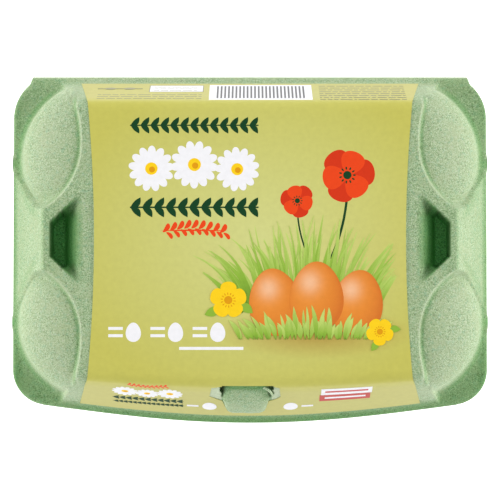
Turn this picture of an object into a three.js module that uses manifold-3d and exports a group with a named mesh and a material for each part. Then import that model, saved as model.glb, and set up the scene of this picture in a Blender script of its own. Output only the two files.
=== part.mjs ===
// A shut egg carton of moulded pulp for six eggs, with a paper label folded over its lid.
// Millimetres, +Z up. X runs along the carton, the hinge is at +Y, the closing tab at -Y, and it stands on z = 0.
// The tray carries six egg cups. The lid is a flat-topped prism whose ends are bitten back to four corner domes,
// with a finger slot between the two domes of each end.
import * as THREE from "three";
import { mergeVertices } from "three/addons/utils/BufferGeometryUtils.js";
import Module from "manifold-3d";

const wasm = await Module();
wasm.setup();

// Driving dimensions
const LENGTH = 150;
const DEPTH = 109.4;
const HEIGHT = 68;
const TRAY_HEIGHT = 36;
const GAP = 0.3; // clearance between pieces that touch
const COLUMN_PITCH = 47; // egg to egg along X
const ROW_PITCH = 50; // egg to egg along Y
const ROW_MIDDLE = 2; // Y midway between the two rows of eggs
const FLANGE = 2; // thickness of the rim of the lid and of the tray
const LUG = { out: 0.3, halfLength: 2.6 }; // small bumps on the rim beside each end egg

// Places that follow from them
const COLUMNS = [-COLUMN_PITCH, 0, COLUMN_PITCH];
const ROWS = { back: ROW_MIDDLE + ROW_PITCH / 2, front: ROW_MIDDLE - ROW_PITCH / 2 };
const LID_BASE = TRAY_HEIGHT + GAP / 2;
const FLANGE_TOP = TRAY_HEIGHT + FLANGE;

// Rim in plan
const RIM = {
  halfLength: LENGTH / 2 - LUG.out,
  back: DEPTH / 2 - 1.8,
  front: -DEPTH / 2,
  frontBow: 5.7, // how far the front edge swells beyond its corners
  bowSpan: 65.2, // X where the swelling ends
  backRadius: 12,
  frontRadius: 11,
};

// Lid above the rim
const TOP = { halfLength: 63.5, back: 43.8, front: -42.7, frontBow: 3.2 }; // edge of the flat top
const FOOT = { halfLength: 74.2, back: RIM.back, front: -53.3, frontBow: RIM.frontBow }; // foot of its walls
const CREASE_RADIUS = 2;
const DOME = { foot: 25.9, shoulderZ: 55, topZ: 67.4, crown: 80, draft: 7 }; // a corner dome about its egg's axis
const DOME_LIMIT = { foot: 54.2, top: 51.2 }; // nearest that a dome comes to the middle of the carton
// Where the flat top gives way to a dome: a side edge, a slanting edge that ends at the tip, and a round corner.
const BITE = { side: 51.2, sideDraft: 10, slant: 50, slantDraft: 28, cornerRadius: 7, tip: { x: 63.4, y: 7.6 } };
const SLOT = { outer: 60.9, inner: 48.6, roll: 6, tipX: 52.2, floorZ: 46, halfStraight: 5.5, halfTips: 12.9, draft: 8 };

// Closing tab and the opening in the lid that it hooks through
const TAB = { x: -1.3, topWidth: 12.6, wideWidth: 14.4, lowWidth: 11.8, topZ: 65.8, wideZ: 57.5, lowZ: 45.2, proud: 1.9 };
const OPENING = { x: -1, topWidth: 15.6, lowWidth: 17.6, topZ: 66.4, lowZ: 56, depth: 4.2 };

// Label
const LABEL = { thickness: 0.4, waist: 47.4, crease: 49.4, hem: 53.3, hemAboveFlange: 2.1 };
const CUTOUT = { wingWidth: 22, wingTopZ: 65.8, wingLowZ: 57, tongueWidth: 12.6, tongueLowZ: 45 };

// Tray cups
const CUP = { bottom: 15.5, rim: 25.3, edgeRadius: 3, swell: 0.7 };
const TUB = { floorZ: 18, floorInset: 10, rimInset: 2 };
const POST = { baseRadius: 9.5, tipRadius: 4.5, tipZ: 31 };

const FACETS = 44; // sides of a round cup or dome
const PULP = { color: 0xaecda0, roughness: 0.95, metalness: 0 };
const PAPER = { color: 0xcbca72, roughness: 0.6, metalness: 0 };
const radians = THREE.MathUtils.degToRad;

// Turns a closed three.js geometry into a solid.
function solid(geometry) {
  const bare = geometry.clone();
  for (const name of Object.keys(bare.attributes)) if (name !== "position") bare.deleteAttribute(name);
  const merged = mergeVertices(bare, 1e-4);
  const made = new wasm.Manifold(
    new wasm.Mesh({
      numProp: 3,
      vertProperties: merged.attributes.position.array,
      triVerts: new Uint32Array(merged.index.array),
    }),
  );
  if (made.volume() <= 0) throw new Error("a shape is inside out");
  return made;
}

// Turns a solid back into a named mesh.
function meshOf(shape, name, finish) {
  const { numProp, numVert, vertProperties, triVerts } = shape.getMesh();
  const positions = new Float32Array(numVert * 3);
  for (let i = 0; i < numVert; i++) positions.set(vertProperties.subarray(i * numProp, i * numProp + 3), i * 3);
  const geometry = new THREE.BufferGeometry();
  geometry.setAttribute("position", new THREE.BufferAttribute(positions, 3));
  geometry.setIndex(new THREE.BufferAttribute(triVerts, 1));
  geometry.computeVertexNormals();
  const mesh = new THREE.Mesh(geometry, new THREE.MeshStandardMaterial(finish));
  mesh.name = name;
  return mesh;
}

// A closed loft through rings of equal length, listed upwards, each counter-clockwise seen from above.
function loft(rings) {
  const count = rings[0].length;
  const positions = rings.flat().flatMap((p) => [p.x, p.y, p.z]);
  const index = [];
  for (let r = 0; r + 1 < rings.length; r++)
    for (let i = 0; i < count; i++) {
      const j = (i + 1) % count;
      const [a, b, c, d] = [r * count + i, r * count + j, (r + 1) * count + i, (r + 1) * count + j];
      index.push(a, b, d, a, d, c);
    }
  const cap = (ring, offset, up) => {
    for (const [a, b, c] of THREE.ShapeUtils.triangulateShape(ring.map((p) => new THREE.Vector2(p.x, p.y)), []))
      index.push(offset + a, offset + (up ? b : c), offset + (up ? c : b));
  };
  cap(rings[0], 0, false);
  cap(rings.at(-1), (rings.length - 1) * count, true);
  const geometry = new THREE.BufferGeometry();
  geometry.setAttribute("position", new THREE.Float32BufferAttribute(positions, 3));
  geometry.setIndex(index);
  return solid(geometry);
}

const ringAt = (points, z) => points.map((p) => new THREE.Vector3(p.x, p.y, z));
const mirrorX = (shape) => shape.mirror([1, 0, 0]);
const mix = THREE.MathUtils.lerp;

// The front edge swells towards the middle as a cosine.
function frontY(x, front, bow) {
  return front + bow * (1 - Math.cos((Math.PI / 2) * Math.min(1, Math.abs(x) / RIM.bowSpan)));
}

// The rim in plan, counter-clockwise, drawn inwards by inset.
function rimOutline(inset = 0) {
  const points = [];
  const side = RIM.halfLength - inset;
  const arc = (cx, cy, radius, from, to, steps) => {
    for (let i = 0; i <= steps; i++) {
      const angle = radians(mix(from, to, i / steps));
      points.push(new THREE.Vector2(cx + radius * Math.cos(angle), cy + radius * Math.sin(angle)));
    }
  };
  const lug = (x, y, upwards) => {
    for (const t of [-1, -0.7, 0.7, 1])
      points.push(new THREE.Vector2(x + Math.sign(x) * (Math.abs(t) < 1 ? LUG.out : 0), y + upwards * t * LUG.halfLength));
  };
  const frontCentre = new THREE.Vector2(RIM.halfLength - RIM.frontRadius, RIM.front + RIM.frontBow + RIM.frontRadius);
  const backCentre = new THREE.Vector2(RIM.halfLength - RIM.backRadius, RIM.back - RIM.backRadius);
  const cornerSteps = 7;
  arc(frontCentre.x, frontCentre.y, RIM.frontRadius - inset, -82, 0, cornerSteps);
  if (!inset) for (const row of [ROWS.front, ROWS.back]) lug(side, row, 1);
  arc(backCentre.x, backCentre.y, RIM.backRadius - inset, 0, 90, cornerSteps);
  arc(-backCentre.x, backCentre.y, RIM.backRadius - inset, 90, 180, cornerSteps);
  if (!inset) for (const row of [ROWS.back, ROWS.front]) lug(-side, row, -1);
  arc(-frontCentre.x, frontCentre.y, RIM.frontRadius - inset, 180, 262, cornerSteps);
  const bowSteps = 14;
  for (let i = 1; i < bowSteps; i++) {
    const x = mix(-RIM.bowSpan, RIM.bowSpan, i / bowSteps);
    points.push(new THREE.Vector2(x, frontY(x, RIM.front, RIM.frontBow) + inset));
  }
  return points;
}

// The flat-topped prism in plan at one height: t is 0 at the foot of its walls and 1 at the flat top.
function prismOutline(t, inset = 0) {
  const side = mix(FOOT.halfLength, TOP.halfLength, t) - inset;
  const back = mix(FOOT.back, TOP.back, t) - inset;
  const front = mix(FOOT.front, TOP.front, t) + inset;
  const bow = mix(FOOT.frontBow, TOP.frontBow, t);
  const points = [new THREE.Vector2(side, back), new THREE.Vector2(-side, back)];
  const steps = 16;
  for (let i = 0; i <= steps; i++) {
    const x = mix(-side, side, i / steps);
    points.push(new THREE.Vector2(x, frontY(x, front, bow)));
  }
  return points;
}

function prism() {
  const rings = [ringAt(prismOutline(0), LID_BASE), ringAt(prismOutline(0), FLANGE_TOP)];
  for (const lean of [0, 35, 90]) {
    const drop = CREASE_RADIUS * (1 - Math.sin(radians(lean)));
    const inset = CREASE_RADIUS * (1 - Math.cos(radians(lean)));
    const z = HEIGHT - drop;
    rings.push(ringAt(prismOutline((z - FLANGE_TOP) / (HEIGHT - FLANGE_TOP), inset * 0.6), z));
  }
  return loft(rings);
}

// What is cut off the prism beside the corner dome at -X, at height z, as an outline that runs far past the prism.
// Each edge moves outwards by its own draft below the flat top.
function biteOutline(z, towardsBack) {
  const drop = HEIGHT - z;
  const sideShift = drop * Math.tan(radians(BITE.sideDraft));
  const slantShift = drop * Math.tan(radians(BITE.slantDraft));
  const radius = Math.max(0.3, BITE.cornerRadius - slantShift);
  const slant = radians(BITE.slant);
  const centreX = -BITE.side - sideShift - radius;
  const centreY = BITE.tip.y + (slantShift + radius + (centreX + BITE.tip.x) * Math.sin(slant)) / Math.cos(slant);
  const reach = 60;
  const points = [new THREE.Vector2(centreX + radius, centreY + reach)];
  const steps = 5;
  for (let i = 0; i <= steps; i++) {
    const angle = mix(0, slant - Math.PI / 2, i / steps);
    points.push(new THREE.Vector2(centreX + radius * Math.cos(angle), centreY + radius * Math.sin(angle)));
  }
  const last = points.at(-1);
  points.push(new THREE.Vector2(last.x - reach * Math.cos(slant), last.y - reach * Math.sin(slant)));
  points.push(new THREE.Vector2(centreX - 2 * reach, centreY + reach));
  const placed = points.map((p) => new THREE.Vector2(p.x, ROW_MIDDLE + towardsBack * p.y));
  return towardsBack > 0 ? placed.reverse() : placed;
}

function bite(towardsBack) {
  const cornerEnds = HEIGHT - (BITE.cornerRadius - 0.3) / Math.tan(radians(BITE.slantDraft));
  return loft([FLANGE_TOP - 4, cornerEnds, HEIGHT + 1].map((z) => ringAt(biteOutline(z, towardsBack), z)));
}

// The height of a dome's crown at a distance from its axis.
const crownZ = (radius) => DOME.topZ - (radius * radius) / DOME.crown;

// A corner dome: a slightly tapered round wall, a round shoulder, and a gently arched crown.
function dome(towardsBack) {
  const wall = (z) => DOME.foot - (z - FLANGE_TOP) * Math.tan(radians(DOME.draft));
  const shoulder = wall(DOME.shoulderZ);
  const crown = shoulder - 5.6; // radius where the shoulder has turned into the crown
  const profile = [
    new THREE.Vector2(0, LID_BASE),
    new THREE.Vector2(wall(FLANGE_TOP), LID_BASE),
    new THREE.Vector2(wall(FLANGE_TOP), FLANGE_TOP),
    new THREE.Vector2(shoulder, DOME.shoulderZ),
  ];
  for (const turn of [25, 50, 72])
    profile.push(
      new THREE.Vector2(
        mix(crown, shoulder, Math.cos(radians(turn))),
        mix(DOME.shoulderZ, crownZ(crown), Math.sin(radians(turn))),
      ),
    );
  for (const radius of [crown, 11, 5.5, 0]) profile.push(new THREE.Vector2(radius, crownZ(radius)));
  const row = towardsBack > 0 ? ROWS.back : ROWS.front;
  const turned = new THREE.LatheGeometry(profile, FACETS).rotateX(Math.PI / 2);
  const side = (x) => [
    new THREE.Vector2(-LENGTH, -DEPTH),
    new THREE.Vector2(-x, -DEPTH),
    new THREE.Vector2(-x, DEPTH),
    new THREE.Vector2(-LENGTH, DEPTH),
  ];
  const limit = loft([ringAt(side(DOME_LIMIT.foot), LID_BASE - 1), ringAt(side(DOME_LIMIT.top), HEIGHT + 1)]);
  return solid(turned).translate([-COLUMN_PITCH, row, 0]).intersect(limit);
}

// The finger slot at the -X end, open at the top: a steep outer wall, two slanting walls, and an inner side that
// rolls down from the flat top as a quarter ellipse.
function slot() {
  const deep = HEIGHT - SLOT.floorZ;
  const ring = (rise, z) => {
    const drop = deep * (1 - rise);
    const outer = -SLOT.outer + drop * Math.tan(radians(SLOT.draft));
    const inner = -SLOT.inner - SLOT.roll * Math.sqrt(1 - rise * rise);
    const tipX = Math.min(-SLOT.tipX, inner - 0.4);
    const tipY = SLOT.halfTips - drop * 0.42;
    const straightY = SLOT.halfStraight - drop * 0.12;
    const half = [
      [outer, straightY],
      [tipX, tipY],
      [mix(tipX, inner, 0.7), tipY * 0.66],
      [inner, tipY * 0.3],
    ];
    const around = [...half.map(([x, y]) => [x, -y]), ...half.reverse()];
    return around.map(([x, y]) => new THREE.Vector3(x, y + ROW_MIDDLE, z));
  };
  const rises = [0, 0.15, 0.4, 0.65, 0.84, 0.96, 1];
  return loft([...rises.map((rise) => ring(rise, SLOT.floorZ + rise * deep)), ring(1, HEIGHT + 1)]);
}

// A point of the lid's front wall at height z, moved outwards by out.
function frontWall(x, z, out = 0) {
  const t = (z - FLANGE_TOP) / (HEIGHT - FLANGE_TOP);
  return frontY(x, mix(FOOT.front, TOP.front, t), mix(FOOT.frontBow, TOP.frontBow, t)) - out;
}

// The opening in the front wall behind the closing tab.
function opening() {
  const rings = [OPENING.lowZ, OPENING.topZ].map((z) => {
    const share = (z - OPENING.lowZ) / (OPENING.topZ - OPENING.lowZ);
    const half = mix(OPENING.lowWidth, OPENING.topWidth, share) / 2;
    const outerY = RIM.front - 2;
    const innerY = frontWall(OPENING.x, z, -OPENING.depth);
    return ringAt(
      [
        new THREE.Vector2(OPENING.x - half, outerY),
        new THREE.Vector2(OPENING.x + half, outerY),
        new THREE.Vector2(OPENING.x + half, innerY),
        new THREE.Vector2(OPENING.x - half, innerY),
      ],
      z,
    );
  });
  return loft(rings);
}

function lid() {
  let body = prism();
  for (const towardsBack of [1, -1]) {
    const bitten = bite(towardsBack);
    const corner = dome(towardsBack);
    body = body.subtract(bitten).subtract(mirrorX(bitten)).add(corner).add(mirrorX(corner));
  }
  const flange = loft([ringAt(rimOutline(), LID_BASE), ringAt(rimOutline(), FLANGE_TOP)]);
  body = body.add(flange);
  const cut = slot();
  return body.subtract(cut).subtract(mirrorX(cut)).subtract(opening());
}

// One egg cup about its axis: a flat bottom with a round edge, and a wall that opens upwards.
function cup(x, y) {
  const top = TRAY_HEIGHT - GAP / 2;
  const wall = (z) => mix(CUP.bottom, CUP.rim, Math.pow(z / top, CUP.swell));
  const profile = [new THREE.Vector2(0, 0)];
  for (const lean of [0, 30, 60])
    profile.push(
      new THREE.Vector2(
        CUP.bottom - CUP.edgeRadius * (1 - Math.sin(radians(lean))),
        CUP.edgeRadius * (1 - Math.cos(radians(lean))),
      ),
    );
  for (const z of [4, 10, 18, 27, top]) profile.push(new THREE.Vector2(wall(z), z));
  profile.push(new THREE.Vector2(0, top));
  return solid(new THREE.LatheGeometry(profile, FACETS).rotateX(Math.PI / 2)).translate([x, y, 0]);
}

// The tub that joins the cups below the rim.
function tub() {
  return loft([
    ringAt(rimOutline(TUB.floorInset), TUB.floorZ),
    ringAt(rimOutline(TUB.rimInset), TRAY_HEIGHT - GAP / 2 - FLANGE),
    ringAt(rimOutline(TUB.rimInset), TRAY_HEIGHT - GAP / 2 - FLANGE / 2),
  ]);
}

// The hollow under one of the two posts that stand between four cups.
function postHollow(x) {
  const profile = [
    new THREE.Vector2(0, TUB.floorZ - 6),
    new THREE.Vector2(POST.baseRadius, TUB.floorZ - 6),
    new THREE.Vector2(POST.baseRadius, TUB.floorZ),
    new THREE.Vector2(POST.tipRadius, POST.tipZ),
    new THREE.Vector2(0, POST.tipZ + 1),
  ];
  const turned = new THREE.LatheGeometry(profile, 24).rotateX(Math.PI / 2);
  return solid(turned).translate([x, ROW_MIDDLE, 0]);
}

function tray() {
  const rim = ringAt(rimOutline(), TRAY_HEIGHT - GAP / 2 - FLANGE);
  let body = loft([rim, ringAt(rimOutline(), TRAY_HEIGHT - GAP / 2)]).add(tub());
  body = body.subtract(postHollow(-COLUMN_PITCH / 2)).subtract(postHollow(COLUMN_PITCH / 2));
  for (const x of COLUMNS) for (const y of Object.values(ROWS)) body = body.add(cup(x, y));
  return body;
}

// The folded strip of pulp along the back that joins the tray to the lid.
function hinge() {
  const inner = rimOutline(-GAP);
  const half = 68.4;
  const splay = 1.2; // its ends run out to meet the round corners
  const outer = DEPTH / 2;
  const low = TRAY_HEIGHT - FLANGE;
  const edge = (inset) => [
    new THREE.Vector2(half + splay, RIM.back - 5),
    new THREE.Vector2(half, outer - inset),
    new THREE.Vector2(-half, outer - inset),
    new THREE.Vector2(-half - splay, RIM.back - 5),
  ];
  const fold = [
    [0.6, low],
    [0, low + 1],
    [0, FLANGE_TOP - 1],
    [0.6, FLANGE_TOP],
  ];
  const strip = loft(fold.map(([inset, z]) => ringAt(edge(inset), z)));
  const middle = loft([ringAt(inner, low - 1), ringAt(inner, FLANGE_TOP + 1)]);
  return strip.subtract(middle);
}

// The closing tab: a block behind the opening and a tongue that hooks down over the wall below it.
function closingTab() {
  const widthAt = (z) =>
    z > TAB.wideZ
      ? mix(TAB.wideWidth, TAB.topWidth, (z - TAB.wideZ) / (TAB.topZ - TAB.wideZ))
      : mix(TAB.lowWidth, TAB.wideWidth, (z - TAB.lowZ) / (TAB.wideZ - TAB.lowZ));
  const slab = (z, out, back) => {
    const half = widthAt(z) / 2;
    const corner = 1.2;
    return [
      new THREE.Vector2(TAB.x - half, back),
      new THREE.Vector2(TAB.x - half, frontWall(TAB.x, z, out - corner / 2)),
      new THREE.Vector2(TAB.x - half + corner, frontWall(TAB.x, z, out)),
      new THREE.Vector2(TAB.x + half - corner, frontWall(TAB.x, z, out)),
      new THREE.Vector2(TAB.x + half, frontWall(TAB.x, z, out - corner / 2)),
      new THREE.Vector2(TAB.x + half, back),
    ];
  };
  const lip = OPENING.lowZ + GAP;
  const tongue = loft(
    [TAB.lowZ, TAB.lowZ + 1.2, TAB.wideZ, TAB.topZ - 2, TAB.topZ].map((z, i) =>
      ringAt(slab(z, [1.2, TAB.proud, TAB.proud, 1, 0.2][i], frontWall(TAB.x, z, -1.5)), z),
    ),
  );
  const wallBelow = loft(
    [TAB.lowZ - 1, lip].map((z) =>
      ringAt(
        [
          new THREE.Vector2(-20, frontWall(TAB.x, z, GAP + 0.15)),
          new THREE.Vector2(20, frontWall(TAB.x, z, GAP + 0.15)),
          new THREE.Vector2(20, 0),
          new THREE.Vector2(-20, 0),
        ],
        z,
      ),
    ),
  );
  const root = loft([lip, TAB.topZ].map((z) => ringAt(slab(z, 0, frontWall(TAB.x, z, 0.6 - OPENING.depth)), z)));
  return tongue.subtract(wallBelow).add(root);
}

// Half of the label's width at a height on the walls, or at a place between the two creases.
function labelHalfWidth(y, z) {
  if (z > HEIGHT - CREASE_RADIUS) {
    const across = (y - ROW_MIDDLE) / ((TOP.back - TOP.front) / 2);
    return mix(LABEL.waist, LABEL.crease, Math.min(1, across * across));
  }
  return mix(LABEL.hem, LABEL.crease, (z - FLANGE_TOP) / (HEIGHT - FLANGE_TOP));
}

// The lid's section in the YZ plane under the label, as points from the back hem to the front hem.
function labelSection(x, out) {
  const low = FLANGE_TOP + LABEL.hemAboveFlange;
  const backLean = Math.atan2(FOOT.back - TOP.back, HEIGHT - FLANGE_TOP);
  const bowTop = frontY(x, TOP.front, TOP.frontBow);
  const points = [];
  for (const z of [low, 49, 58, HEIGHT - 2.4]) {
    const t = (z - FLANGE_TOP) / (HEIGHT - FLANGE_TOP);
    points.push([mix(FOOT.back, TOP.back, t) + out * Math.cos(backLean), z + out * Math.sin(backLean)]);
  }
  points.push([TOP.back - 0.1 + out * 0.65, HEIGHT - 0.5 + out * 0.75]);
  for (const share of [0, 0.25, 0.5, 0.75, 1])
    points.push([mix(TOP.back - 1.6, bowTop + 1.6, share), HEIGHT + out]);
  points.push([bowTop + 0.1 - out * 0.65, HEIGHT - 0.5 + out * 0.75]);
  for (const z of [HEIGHT - 2.4, 58, 49, low]) {
    const t = (z - FLANGE_TOP) / (HEIGHT - FLANGE_TOP);
    const y = frontY(x, mix(FOOT.front, TOP.front, t), mix(FOOT.frontBow, TOP.frontBow, t));
    points.push([y - out * Math.cos(backLean), z + out * Math.sin(backLean)]);
  }
  return points;
}

// The paper label: one sheet folded down over both creases, narrower at its waist, with a cut-out for the tab.
function label() {
  const columns = 14;
  const layer = (out) => {
    const rows = labelSection(0, out).length;
    return Array.from({ length: rows }, (_, r) =>
      Array.from({ length: columns + 1 }, (_, c) => {
        const [y, z] = labelSection(0, out)[r];
        const x = labelHalfWidth(y, z - out) * ((2 * c) / columns - 1);
        const [yHere, zHere] = labelSection(x, out)[r];
        return new THREE.Vector3(x, yHere, zHere);
      }),
    );
  };
  const layers = [layer(GAP), layer(GAP + LABEL.thickness)];
  const rows = layers[0].length;
  const at = (l, r, c) => (l * rows + r) * (columns + 1) + c;
  const positions = layers.flat(2).flatMap((p) => [p.x, p.y, p.z]);
  const index = [];
  const quad = (a, b, c, d) => index.push(a, b, c, a, c, d);
  for (let r = 0; r + 1 < rows; r++)
    for (let c = 0; c < columns; c++) {
      quad(at(1, r, c), at(1, r + 1, c), at(1, r + 1, c + 1), at(1, r, c + 1));
      quad(at(0, r, c), at(0, r, c + 1), at(0, r + 1, c + 1), at(0, r + 1, c));
    }
  for (let r = 0; r + 1 < rows; r++) {
    quad(at(0, r, 0), at(0, r + 1, 0), at(1, r + 1, 0), at(1, r, 0));
    quad(at(0, r, columns), at(1, r, columns), at(1, r + 1, columns), at(0, r + 1, columns));
  }
  for (let c = 0; c < columns; c++) {
    quad(at(0, 0, c), at(1, 0, c), at(1, 0, c + 1), at(0, 0, c + 1));
    quad(at(0, rows - 1, c), at(0, rows - 1, c + 1), at(1, rows - 1, c + 1), at(1, rows - 1, c));
  }
  const geometry = new THREE.BufferGeometry();
  geometry.setAttribute("position", new THREE.Float32BufferAttribute(positions, 3));
  geometry.setIndex(index);
  return solid(geometry).subtract(cutout());
}

// The label's cut-out, as an outline in X and Z pushed through the front panel.
function cutout() {
  const half = CUTOUT.wingWidth / 2;
  const tongue = CUTOUT.tongueWidth / 2;
  const shape = new THREE.Shape(
    [
      [-half * 0.86, CUTOUT.wingTopZ],
      [-half, CUTOUT.wingLowZ],
      [-tongue - 2, CUTOUT.wingLowZ - 2],
      [-tongue, CUTOUT.tongueLowZ],
      [tongue, CUTOUT.tongueLowZ],
      [tongue + 2, CUTOUT.wingLowZ - 2],
      [half, CUTOUT.wingLowZ],
      [half * 0.86, CUTOUT.wingTopZ],
      [half * 0.62, HEIGHT + 2],
      [-half * 0.62, HEIGHT + 2],
    ].map(([x, z]) => new THREE.Vector2(x + TAB.x, z)),
  );
  const reach = 14;
  const geometry = new THREE.ExtrudeGeometry(shape, { depth: reach, bevelEnabled: false }).rotateX(Math.PI / 2);
  return solid(geometry).translate([0, TOP.front + 0.6, 0]);
}

const carton = new THREE.Group();
carton.add(
  meshOf(tray(), "tray", PULP),
  meshOf(lid(), "lid", PULP),
  meshOf(hinge(), "hinge", PULP),
  meshOf(closingTab(), "closing_tab", PULP),
  meshOf(label(), "label", PAPER),
);

export default carton;
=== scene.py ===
"""A shut egg carton of green moulded pulp for six eggs, with a printed paper label folded over its lid."""
import math

import bpy
import numpy as np
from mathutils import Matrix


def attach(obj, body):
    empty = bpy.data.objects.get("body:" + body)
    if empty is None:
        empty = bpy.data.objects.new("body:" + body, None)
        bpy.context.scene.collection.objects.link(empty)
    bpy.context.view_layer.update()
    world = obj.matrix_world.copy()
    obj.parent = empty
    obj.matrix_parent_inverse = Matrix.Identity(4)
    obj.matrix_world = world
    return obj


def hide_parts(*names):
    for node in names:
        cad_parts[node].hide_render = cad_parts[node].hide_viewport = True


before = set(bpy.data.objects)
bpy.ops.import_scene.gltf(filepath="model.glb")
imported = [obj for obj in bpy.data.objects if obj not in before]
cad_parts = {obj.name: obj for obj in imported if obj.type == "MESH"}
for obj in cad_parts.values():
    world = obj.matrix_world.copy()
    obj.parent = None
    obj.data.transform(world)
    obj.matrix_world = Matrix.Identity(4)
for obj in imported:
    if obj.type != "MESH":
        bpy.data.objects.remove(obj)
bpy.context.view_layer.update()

# The lid
# One moulding of green pulp about 2 mm thick, pressed from wet recycled fibre and dried. Its top is flat for
# the label, and at each end it is bitten back to two round domes over the corner eggs, with a finger slot
# between them.

# Sizes in millimetres, X along the carton, Y towards the hinge, Z up from the surface it stands on
RIM_HALF_LENGTH = 74.7
RIM_BACK = 52.9
RIM_FRONT = -54.7
FRONT_BOW = 5.7
BOW_SPAN = 65.2
BACK_CORNER = 14.2
BACK_CORNER_Y = 41.3
FRONT_CORNER = 11.0
FOLD_BACK = 54.1
FOLD_HALF_LENGTH = 68.9
FOLD_SLANT = (0.935, 0.355)
RIM_TOP_Z = 38.0
RIM_EDGE = 1.0
LID_BASE_Z = 36.15
TOP_Z = 68.0
WALL_HEIGHT = TOP_Z - RIM_TOP_Z
ROW_MIDDLE = 2.0
COLUMN_PITCH = 47.0
ROW_HALF_PITCH = 25.0
ROWS = (ROW_MIDDLE + ROW_HALF_PITCH, ROW_MIDDLE - ROW_HALF_PITCH)
DOMES = ((46.6, 28.0, 23.8), (48.6, -23.1, 22.6))

TOP_HALF_LENGTH = 63.0
TOP_BACK = 43.5
TOP_FRONT = -42.3
TOP_BOW = 3.2
FOOT_HALF_LENGTH = 74.2
FOOT_FRONT = -53.3

BITE_CENTRE = (74.7, 29.4)
BITE_RADIUS = 23.5
RIDGE_FLARE = 0.011
END_DRAFT = math.radians(13)
END_LOW_DRAFT = math.radians(34)
END_STEEP_DROP = 7.0
DOME_SHOULDER_Z = 52.0
DOME_TOP_Z = 67.0
DOME_FLARE = 1.25
SLOT_INNER = 47.6
SLOT_ROLL = 9.4
SLOT_OUTER = 61.2
SLOT_HALF_WIDTH = 5.0
SLOT_SLANT = (0.70, 0.714)
SLOT_DRAFT = math.radians(0.4)
SLOT_END = 15.0
SLOT_RAMP = 6.5
SLOT_DEPTH = 17.0
OPENING_X = -1.0
OPENING_HALF_WIDTH = 8.1
OPENING_FLOOR_Z = 57.0

PULP_LIGHT = (0.53, 0.645, 0.425)
PULP_DARK = (0.165, 0.28, 0.12)
WARM_MOTTLE = (0.385, 0.46, 0.27)
COOL_FELT = (0.21, 0.42, 0.28)
PALE_SPECK = (0.56, 0.60, 0.47)
DARK_SPECK = (0.13, 0.17, 0.08)
# Tints of painted light and painted shade: paler for painted light, darker for painted shade, and greener
# again for the painted shade deep in hollows.
PAINTED_LIGHT_TINT = (0.72, 0.78, 0.60)
SHADE_TINT = (0.415, 0.67, 0.41)
DEEP_SHADE_TINT = (1.35, 1.9, 1.6)


def at(*coordinates):
    """Points at these coordinates, each an array or one number for all."""
    return np.stack(np.broadcast_arrays(*coordinates), axis=-1)


def held(value):
    """A value held between 0 and 1."""
    return np.clip(value, 0, 1)


def bell(distance, width, power=2):
    """A bell over distance: the exponential of minus a power of the distance in widths."""
    return np.exp(-((distance / width) ** power))


def smooth_max(a, b, reach):
    """The larger of two heights. Within reach of each other they swell by up to a quarter of reach, as a
    parabola, so the corner between two faces comes out round."""
    near = np.clip(1 - np.abs(a - b) / reach, 0, None)
    return np.maximum(a, b) + near**2 * reach / 4


def smooth_min(a, b, reach):
    """The smaller of two heights with the corner between them rounded, as smooth_max turned over."""
    return -smooth_max(-a, -b, reach)


def bow(x):
    """How far the front edge falls back, from 0 to 1: one less the cosine of a quarter turn."""
    return 1 - np.cos(np.pi / 2 * np.minimum(1, np.abs(x) / BOW_SPAN))


def rim_front_y(x):
    """The front edge of the rim: the bow, then a quarter circle round the corner."""
    centre_x = RIM_HALF_LENGTH - FRONT_CORNER
    centre_y = RIM_FRONT + FRONT_BOW + FRONT_CORNER
    beyond = np.clip(np.abs(x) - centre_x, 0, FRONT_CORNER)
    corner = centre_y - np.sqrt(FRONT_CORNER**2 - beyond**2)
    return np.where(np.abs(x) > BOW_SPAN, corner, RIM_FRONT + FRONT_BOW * bow(x))


def rim_back_y(x):
    """The back edge of the rim: straight along the fold, then slanting in to the circle round the corner."""
    beyond = np.clip(np.abs(x) - (RIM_HALF_LENGTH - BACK_CORNER), 0, BACK_CORNER)
    corner = BACK_CORNER_Y + np.sqrt(BACK_CORNER**2 - beyond**2)
    slant = FOLD_BACK - (np.abs(x) - FOLD_HALF_LENGTH) * FOLD_SLANT[0] / FOLD_SLANT[1]
    return np.minimum(FOLD_BACK, np.where(np.abs(x) < FOLD_HALF_LENGTH, FOLD_BACK, np.maximum(corner, slant)))


def rim_inset(x, y):
    """How far a point lies inside the rim: its distance to the nearest straight edge, or to the corner's
    circle, or to the edge of the fold's web where that reaches further out."""
    side = RIM_HALF_LENGTH - np.abs(x)
    inset = np.minimum(side, np.minimum(RIM_BACK - y, y - (RIM_FRONT + FRONT_BOW * bow(x))))
    for radius, centre_y, sign in (
        (BACK_CORNER, BACK_CORNER_Y, 1),
        (FRONT_CORNER, RIM_FRONT + FRONT_BOW + FRONT_CORNER, -1),
    ):
        across = np.abs(x) - (RIM_HALF_LENGTH - radius)
        along = sign * (y - centre_y)
        in_corner = (across > 0) & (along > 0)
        inset = np.where(in_corner, np.minimum(radius - np.hypot(across, along), FOLD_BACK - y), inset)
    slanting = FOLD_SLANT[0] * (FOLD_HALF_LENGTH - np.abs(x)) + FOLD_SLANT[1] * (FOLD_BACK - y)
    web = np.minimum(np.minimum(FOLD_BACK - y, slanting), y - 40)
    return np.maximum(inset, web)


def foot_front_y(x):
    """The front wall's foot: the rim's bow, set back a little."""
    return FOOT_FRONT + FRONT_BOW * bow(x)


def top_front_y(x):
    """The front wall's top edge: a bow not quite as deep as the foot's."""
    return TOP_FRONT + TOP_BOW * bow(x)


def front_wall_y(x, z):
    """The lid's front wall: straight lines from its foot to its top edge."""
    share = (z - RIM_TOP_Z) / WALL_HEIGHT
    return foot_front_y(x) + share * (top_front_y(x) - foot_front_y(x))


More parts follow.
